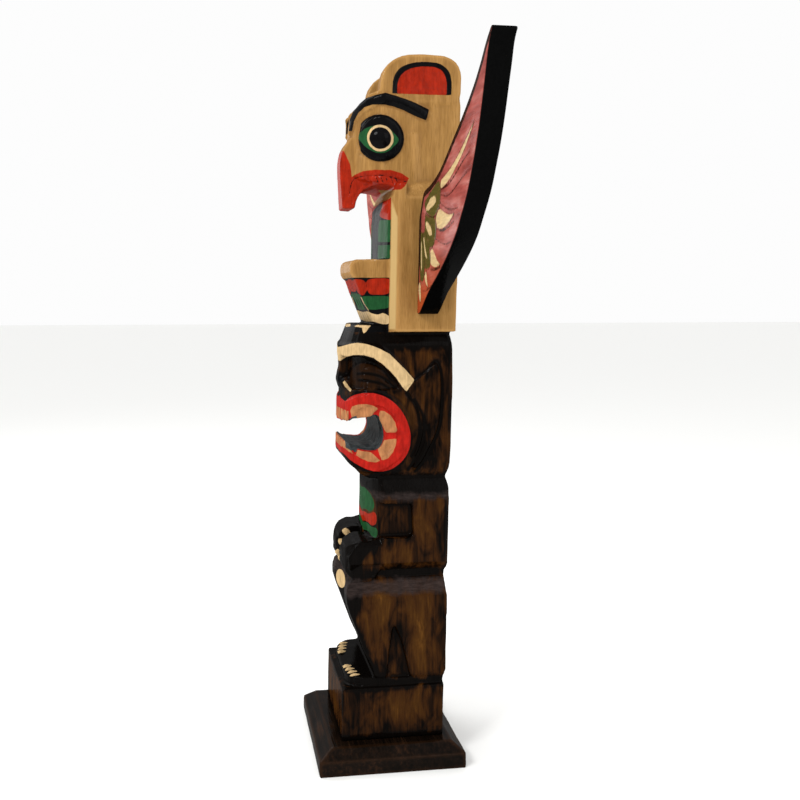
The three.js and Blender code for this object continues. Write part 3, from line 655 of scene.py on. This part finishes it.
feathers = {
    "green": [
        [(68, 397), (80, 401), (100, 405.5), (112, 407), (118, 404), (119, 398), (116, 391), (108, 387), (98, 385.5),
         (88, 386.5), (76, 389), (70, 392)],
        [(70, 389), (76, 388), (88, 386), (98, 385), (105, 384), (108, 380), (108, 374), (104, 369), (97, 366),
         (88, 366), (80, 370), (72, 376), (69, 382)],
        [(62, 376), (70, 378), (74, 375), (80, 370), (88, 365.4), (91, 360), (90, 354), (84, 352), (77, 351.5),
         (71, 354), (69, 361), (65, 369)],
        [(55.6, 376), (62, 378), (66, 369), (70, 360), (71.4, 351), (68, 345), (62, 343.5), (57, 346), (55, 358)],
    ],
    "cream": [
        [(73, 393), (85, 397.5), (98, 399), (105, 397.5), (106, 395), (100, 393), (88, 391), (76, 390.6)],
        [(73, 384), (80, 383.5), (90, 380), (95, 377), (95, 374.5), (88, 373.5), (80, 376.5), (74, 380.5)],
        [(67, 374), (69.6, 373.4), (74, 366.4), (81, 360.4), (78.6, 359), (74, 361), (69, 367), (66.6, 371)],
        [(58.4, 371), (60.8, 371), (62.8, 362), (63.2, 352), (61, 352), (58.8, 360)],
        [(119, 406.5), (130, 408.5), (145, 411), (160, 415), (180, 421), (205, 430.5), (195, 424), (185, 418.5),
         (175, 414.5), (160, 409.5), (150, 406), (140, 403.5), (130, 402), (119, 401.5)],
        [(106.5, 385), (116, 389.5), (130, 386.5), (145, 384), (160, 383.3), (150, 380), (140, 377.6), (125, 376),
         (112, 377), (108.6, 380)],
        [(90, 363), (96, 365.5), (105, 362), (113, 357.5), (122, 354), (110, 352.5), (100, 353), (91.6, 355.4)],
        [(72, 347.6), (75.4, 351), (79, 349.4), (82.6, 344), (85.4, 340), (80, 341), (75, 344)],
        [(52, 342.5), (57, 344), (60, 340), (60.4, 331), (57, 330.4), (52, 337)],
    ],
    "lines": [
        [(119, 398), (135, 395.6), (150, 396.4), (168, 400), (186, 403.6), (202, 405.4)],
        [(119, 401), (140, 401.6), (160, 406), (180, 411.6), (196, 415)],
        [(118, 393), (135, 388.6), (152, 386.4), (170, 386)],
        [(107, 371), (125, 367.5), (140, 366.2), (152, 367)],
        [(108, 378), (122, 375), (140, 375.6), (160, 379)],
        [(90, 352), (104, 351), (122, 352), (132, 351.4)],
        [(66, 338), (80, 338), (96, 341)],
    ],
    "root": [(49, 390), (57, 390), (59, 381), (55.4, 376), (54.4, 345), (49, 340)],
}


def wingLoops():  # the board's section at each station along it: (depth behind its front, Z)
    edge, thick, rows = wingShape["edge"], wingShape["thickness"], wingShape["rows"]
    upper, lower = (smoothLoop(wingShape[name], 12, False) for name in ("upper", "lower"))
    tip = upper[-1][0]
    stations = np.concatenate([np.linspace(50, tip - 12, 150), tip - np.geomspace(12, 0.6, 14)[1:], [lower[-1][0]]])
    share = np.linspace(0, 1, rows + 1)
    round4 = np.linspace(0, math.pi / 2, 4)
    for x in stations:
        top, low = np.interp(x, *upper.T), np.interp(x, *lower.T)
        inset = min(edge, (top - low) * 0.3)
        turn = [(edge * (1 - math.cos(a)), inset * (1 - math.sin(a))) for a in round4]
        front = [(0, z) for z in low + inset + share * (top - low - 2 * inset)]
        back = [(thick, z) for _, z in front[::-1]]
        overTop = [(d, top - dz) for d, dz in turn[1:]] + [(thick - d, top - dz) for d, dz in turn[::-1][:-1]]
        underneath = [(thick - d, low + dz) for d, dz in turn[1:]] + [(d, low + dz) for d, dz in turn[::-1][:-1]]
        yield x, front + overTop + back + underneath


def makeWing(name, node, side, material):
    low, high = (np.array(corner) * 1000 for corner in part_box(node))
    lean, foot = poleShape["lean"], poleShape["foot"]
    front = low[1] - lean * (low[2] - foot)  # of the upright board
    bm = bmesh.new()
    loops = [[bm.verts.new((side * x, front + depth + lean * (z - foot), z)) for depth, z in section]
             for x, section in wingLoops()]
    for one, other in zip(loops, loops[1:]):
        for i in range(len(one)):
            j = (i + 1) % len(one)
            bm.faces.new((one[i], one[j], other[j], other[i]))
    ends = [bm.faces.new(loops[0]), bm.faces.new(loops[-1])]
    bmesh.ops.triangulate(bm, faces=ends)
    bmesh.ops.remove_doubles(bm, verts=bm.verts, dist=1e-4)
    bmesh.ops.recalc_face_normals(bm, faces=bm.faces)
    mesh = bpy.data.meshes.new(name)
    bm.to_mesh(mesh)
    bm.free()

    co, normals = places(mesh), normalsOf(mesh)
    x, z = np.abs(co[:, 0]), co[:, 2]
    behind = co[:, 1] - lean * (z - foot) - front  # 0 on the front
    rims = feathers["green"] + feathers["cream"][4:]
    lines = np.min([lineDistance(x, z, smoothLoop(line, 6, False)) for line in feathers["lines"]], 0)
    outlines = np.min([lineDistance(x, z, smoothLoop(loop, 5), True) for loop in rims], 0)
    cut = np.where(behind < 0.5, furrow(np.minimum(lines, outlines), 0.7, 0.35), 0)
    waves = fieldNoise(co * (0.5, 1, 1), 12.0, 7) * 0.18
    moved = co + normals * (cut + np.where(x < 52, 0, waves))[:, None]
    setPlaces(mesh, np.clip(moved, low, high))

    onFront = behind - 0.2
    upper = smoothLoop(wingShape["upper"], 12, False)
    border = np.minimum(lineDistance(x, z, upper) - wingShape["border"], insideDistance(x, z, feathers["root"]))
    fields = {
        "paintGreen": np.min([insideDistance(x, z, smoothLoop(loop, 5)) for loop in feathers["green"]], 0),
        "paintCream": np.min([insideDistance(x, z, smoothLoop(loop, 5)) for loop in feathers["cream"]], 0),
        "paintBorder": border,
        "paintLines": np.minimum(lines - 0.75, outlines - 0.5),
    }
    for field, values in fields.items():
        storeField(mesh, field, np.maximum(values, onFront))
    storeField(mesh, "boardFront", onFront)
    return finishMesh(name, mesh, material)


boardShape = {"voxel": 1.2, "waves": 0.25}


def makeBoard(material):
    skin = remeshed("boardSkin", [nodeCopy("base_board")], boardShape["voxel"])
    co = relax(places(skin), edgesOf(skin), 4, (0.5, -0.4))
    setPlaces(skin, co)
    waves = fieldNoise(co * (0.4, 1, 1), 8.0, 11) * boardShape["waves"]
    low, high = (np.array(corner) * 1000 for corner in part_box("base_board"))
    onFloor = co[:, 2] < 0.6
    co = np.clip(co + normalsOf(skin) * np.where(onFloor, 0, waves)[:, None], low, high)
    co[:, 2] = np.where(onFloor, 0, co[:, 2])
    setPlaces(skin, co)
    storeHollows(skin)
    return finishMesh("stainedBoard", skin, material)


# Finishes

finish = {
    "goldLight": "#AC824C",
    "gold": "#8D6838",
    "goldDark": "#76532B",
    # the next colour is a painted highlight, laid on the block's front corner
    "cornerHighlight": "#B79A66",
    "char": "#050302",
    "sootAndShade": "#070504",
    "sheenGrey": "#2A2220",
    # the next colour is a painted sheen, the grey of the varnish reflecting the sky
    "burn": "#1A0D05",
    "brown": "#301A08",
    "amber": "#41270C",
    "amberLight": "#5C3A15",
    "red": "#8C1F0C",
    "lip": "#9A1B14",
    "green": "#1A4424",
    "black": "#060607",
    "cream": "#B99D72",
    "tooth": "#9D6A44",
    "hole": "#35393A",
    "paintEdge": 0.16,  # mm over which a painted edge fades
    "brushWobble": 0.55,  # mm that a painted edge wanders
}

gloss = {"weight": 0.1, "burned": 0.055, "thin": 0.04, "roughness": 0.1}  # of the varnish


def attributeOf(tree, name):
    return addNode(tree, "ShaderNodeAttribute", attribute_name=name).outputs["Fac"]


def mapped(tree, value, start, end, low, high):
    return addNode(tree, "ShaderNodeMapRange", {0: value, 1: start, 2: end, 3: low, 4: high}).outputs[0]


def paintMask(tree, name, wobble):  # 1 where the paint is
    edge = finish["paintEdge"]
    return mapped(tree, math2(tree, "ADD", attributeOf(tree, name), wobble), -edge, edge, 1.0, 0.0)


def edgeWobble(tree):
    wander = grainNoise(tree, (3.2, 3.2, 3.2), 2.0)
    return math2(tree, "MULTIPLY", math2(tree, "SUBTRACT", wander, 0.5), finish["brushWobble"])


def shaded(tree, colour, pattern, amount):  # lighter and darker by a pattern
    light = mapped(tree, pattern, 0.3, 0.7, 1 - amount, 1 + amount)
    shade = addNode(tree, "ShaderNodeCombineXYZ", {0: light, 1: light, 2: light}).outputs[0]
    return mixColour(tree, 1.0, colour, shade, "MULTIPLY")


def varnished(tree, colour, height, depth, coat=gloss["weight"]):
    bump = addNode(tree, "ShaderNodeBump", {"Height": height, "Strength": 0.4, "Distance": depth}).outputs[0]
    shader = addNode(tree, "ShaderNodeBsdfPrincipled", {
        "Base Color": colour, "Roughness": 0.5, "Normal": bump, "Metallic": 0.0, "IOR": 1.5,
        "Specular IOR Level": 0.0, "Coat Weight": coat, "Coat Roughness": gloss["roughness"],
        "Coat IOR": 1.5, "Coat Normal": bump,
    })
    addNode(tree, "ShaderNodeOutputMaterial", {"Surface": shader.outputs[0]})


def carvedPine():
    # Soft pine, carved by knife, burned with a torch below and left pale above, brush painted, gloss varnished:
    # amber left in the middle of the faces between char, fine upright pores, paint that wanders at its edges.
    material, tree = newMaterial("carvedPineBurnedPaintedVarnished")
    wobble = edgeWobble(tree)
    stroke = grainNoise(tree, (1.4, 1.4, 9.0))
    mottle = grainNoise(tree, (4.0, 4.0, 6.0))
    pores = grainNoise(tree, (0.7, 0.7, 9.0), 2.0, 0.6)
    bands = grainNoise(tree, (6.0, 6.0, 60.0), 3.0, 0.5, 0.4)
    hollows = attributeOf(tree, "hollows")

    tone = math2(tree, "ADD", math2(tree, "MULTIPLY", bands, 0.6), math2(tree, "MULTIPLY", pores, 0.4))
    pale = colourRamp(tree, tone, [(0.26, finish["goldDark"]), (0.5, finish["gold"]), (0.74, finish["goldLight"])])
    pale = mixColour(tree, mapped(tree, pores, 0.3, 0.38, 0.6, 0.0), pale, linear(finish["goldDark"]))
    pale = mixColour(tree, mapped(tree, hollows, 0.05, 0.5, 0.0, 0.7), pale, linear(finish["goldDark"]))
    pale = mixColour(tree, mapped(tree, hollows, -0.1, -0.6, 0.0, 0.6), pale, linear(finish["goldLight"]))
    # painted highlight on the block's front corner
    pale = mixColour(tree, mapped(tree, attributeOf(tree, "corner"), -0.8, 0.2, 0.8, 0.0), pale,
                     linear(finish["cornerHighlight"]))

    flame = grainNoise(tree, (9.0, 9.0, 24.0), 3.0, 0.55, 0.6)
    streak = grainNoise(tree, (1.8, 1.8, 26.0), 2.0)
    heat = math2(tree, "ADD", math2(tree, "MULTIPLY", flame, 0.75), math2(tree, "MULTIPLY", streak, 0.25))
    # darker near edges from the torch, and along carved lines and burned zones, partly char and partly painted shade
    charredAndShaded = mapped(tree, attributeOf(tree, "nearEdges"), 0.04, 0.22, 0.0, 0.16)
    charredAndShaded = math2(tree, "MAXIMUM", charredAndShaded, mapped(tree, attributeOf(tree, "sootAndShade"), 0.8, 4.5, 0.2, 0.0))
    heat = math2(tree, "SUBTRACT", heat, charredAndShaded)
    heat = math2(tree, "ADD", heat, mapped(tree, attributeOf(tree, "leaf"), -4.0, 0.0, -0.02, 0.0))
    burned = colourRamp(tree, heat, [
        (0.24, finish["char"]), (0.32, finish["burn"]), (0.42, finish["brown"]), (0.58, finish["amber"]),
        (0.74, finish["amberLight"]),
    ])
    burned = shaded(tree, burned, pores, 0.2)
    socket = mapped(tree, attributeOf(tree, "socket"), -1.5, 0.6, 0.75, 0.0)
    burned = mixColour(tree, socket, burned, linear(finish["burn"]))
    burned = mixColour(tree, mapped(tree, hollows, 0.08, 0.5, 0.0, 0.9), burned, linear(finish["char"]))
    burned = mixColour(tree, mapped(tree, attributeOf(tree, "knifeLines"), 0.5, 1.5, 0.96, 0.0), burned,
                       linear(finish["char"]))
    ragged = math2(tree, "MULTIPLY", math2(tree, "SUBTRACT", flame, 0.5), 9.0)
    blackened = mapped(tree, math2(tree, "ADD", attributeOf(tree, "burned"), ragged), -0.8, 1.2, 1.0, 0.0)
    burned = mixColour(tree, blackened, burned, shaded(tree, linear(finish["sootAndShade"]), stroke, 0.3))
    # painted sheen: mixes a grey reflection colour onto the thigh and shoulder tops
    wearAndSheen = mapped(tree, math2(tree, "ADD", attributeOf(tree, "sheen"), ragged), -2.5, 1.0, 0.85, 0.0)
    burned = mixColour(tree, wearAndSheen, burned, shaded(tree, linear(finish["sheenGrey"]), grainNoise(tree, (6.0, 6.0, 1.3)), 0.5))

    colour = mixColour(tree, paintMask(tree, "birdWood", 0.0), burned, pale)
    layers = (("paintBlack", "black", 0.2), ("paintLip", "lip", 0.25), ("paintRed", "red", 0.22),
              ("paintGreen", "green", 0.22), ("paintCream", "cream", 0.16), ("paintTeeth", "tooth", 0.25),
              ("paintHole", "hole", 0.6), ("paintInk", "black", 0.2))
    for name, code, unevenness in layers:
        paint = shaded(tree, shaded(tree, linear(finish[code]), stroke, 0.16), mottle, unevenness)
        colour = mixColour(tree, paintMask(tree, name, wobble), colour, paint)

    height = math2(tree, "ADD", math2(tree, "MULTIPLY", pores, 0.35), math2(tree, "MULTIPLY", stroke, 0.65))
    coat = mapped(tree, attributeOf(tree, "birdWood"), -0.2, 0.2, gloss["weight"], gloss["burned"])
    varnished(tree, colour, height, 0.00035, coat)
    return material


def paintedWing():
    # A sawn pine board, brush painted with feathers on the front and black on its edges and back, gloss varnished:
    # streaky paint that follows the feathers, dark lines between them and a wet shine.
    material, tree = newMaterial("sawnPinePaintedVarnished")
    wobble = edgeWobble(tree)
    stroke = grainNoise(tree, (14.0, 1.5, 1.5))
    shade = grainNoise(tree, (40.0, 9.0, 9.0), 2.0)
    pink = colourRamp(tree, shade, [(0.35, "#74342F"), (0.52, "#8E463F"), (0.68, "#A1625A")])
    height = addNode(tree, "ShaderNodeSeparateXYZ", {0: addNode(tree, "ShaderNodeTexCoord").outputs["Object"]})
    low = mapped(tree, height.outputs["Z"], 0.33, 0.365, 1.0, 0.0)
    colour = shaded(tree, mixColour(tree, low, pink, linear("#97401F")), stroke, 0.14)
    layers = (("paintBorder", "#20110A"), ("paintGreen", "#48421D"), ("paintCream", "#B79E72"), ("paintLines", "#2B120B"))
    for name, code in layers:
        colour = mixColour(tree, paintMask(tree, name, wobble), colour, shaded(tree, linear(code), stroke, 0.18))
    black = shaded(tree, linear("#040404"), stroke, 0.3)
    colour = mixColour(tree, paintMask(tree, "boardFront", 0.0), black, colour)
    coat = mapped(tree, attributeOf(tree, "boardFront"), -0.2, 0.2, gloss["weight"], gloss["thin"])
    varnished(tree, colour, stroke, 0.0003, coat)
    return material


def stainedPine():
    # A planed pine board under near-black brown stain and gloss varnish: faint lengthwise brush streaks.
    material, tree = newMaterial("planedPineStainedVarnished")
    streak = grainNoise(tree, (46.0, 2.2, 2.2), 4.0, 0.6, 0.3)
    cloud = grainNoise(tree, (26.0, 18.0, 18.0), 2.0)
    tone = math2(tree, "ADD", math2(tree, "MULTIPLY", streak, 0.6), math2(tree, "MULTIPLY", cloud, 0.4))
    colour = colourRamp(tree, tone, [(0.4, "#080503"), (0.55, "#140C07"), (0.7, "#2A190E")])
    wearAndSheen = mapped(tree, attributeOf(tree, "hollows"), -0.1, -0.5, 0.0, 0.5)
    colour = mixColour(tree, wearAndSheen, colour, linear("#2E1B0D"))
    varnished(tree, colour, streak, 0.0004)
    return material


# Studio

studio = {
    "floor": "#F6F6F4",
    "sky": "#FEFEFE",
    "skyStrength": 0.99,
    "lamps": [  # place, aim, size in m, watts
        ((1.0, -1.0, 1.3), (0, 0, 0.28), 0.45, 15),
        ((1.5, 0.9, 1.0), (0, 0, 0.25), 1.2, 7),
        ((-0.9, -0.9, 1.3), (0, 0, 0.3), 1.0, 8),
        ((-0.45, -0.14, 0.44), (-0.15, 0.02, 0.39), 0.2, 0.35),
    ],
}


def makeStudio():
    material, tree = newMaterial("paleStudioFloorMatt")
    shader = addNode(tree, "ShaderNodeBsdfPrincipled", {"Base Color": linear(studio["floor"]), "Roughness": 0.8})
    addNode(tree, "ShaderNodeOutputMaterial", {"Surface": shader.outputs[0]})
    bm = bmesh.new()
    bmesh.ops.create_grid(bm, x_segments=8, y_segments=8, size=12.0)
    mesh = bpy.data.meshes.new("studioFloor")
    bm.to_mesh(mesh)
    bm.free()
    mesh.materials.append(material)
    floor = bpy.data.objects.new("studioFloor", mesh)
    bpy.context.scene.collection.objects.link(floor)

    world = bpy.data.worlds.new("studioSky")
    world.use_nodes = True
    world.node_tree.nodes.clear()
    sky = addNode(world.node_tree, "ShaderNodeBackground", {0: linear(studio["sky"]), 1: studio["skyStrength"]})
    addNode(world.node_tree, "ShaderNodeOutputWorld", {0: sky.outputs[0]})
    bpy.context.scene.world = world

    for number, (place, aim, size, watts) in enumerate(studio["lamps"]):
        data = bpy.data.lights.new(f"softLamp{number}", "AREA")
        data.size = size
        data.energy = watts
        lamp = bpy.data.objects.new(data.name, data)
        lamp.location = place
        lamp.rotation_euler = (Vector(aim) - Vector(place)).to_track_quat("-Z", "Y").to_euler()
        bpy.context.scene.collection.objects.link(lamp)
    bpy.context.scene.view_settings.view_transform = "Standard"


def makeCamera():
    data = bpy.data.cameras.new("camera")
    data.lens = viewing["lens"]
    data.sensor_width = viewing["sensor"]
    data.clip_start = 0.01
    camera = bpy.data.objects.new("camera", data)
    camera.location = [p / 1000 for p in viewing["place"]]
    camera.rotation_euler = (math.radians(90 - viewing["dip"]), 0, math.radians(viewing["turn"]))
    bpy.context.scene.collection.objects.link(camera)
    bpy.context.scene.camera = camera


makeCamera()
makeStudio()
print("camera and studio ready")

pole = makePole(carvedPine())
print("pole carved and painted:", len(pole.data.polygons), "faces")

wingMaterial = paintedWing()
wings = {side: makeWing(name, node, side, wingMaterial)
         for name, node, side in (("featherWingLeft", "wing_left", 1), ("featherWingRight", "wing_right", -1))}
print("wings painted:", len(wings[1].data.polygons), "faces each")

board = makeBoard(stainedPine())
print("base board stained:", len(board.data.polygons), "faces")

for piece, node, slot in ((pole, "pole", "burned_wood"), (wings[1], "wing_left", "wing_paint"),
                          (wings[-1], "wing_right", "wing_paint"), (board, "base_board", "board")):
    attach(piece, "root")
    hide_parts(node)
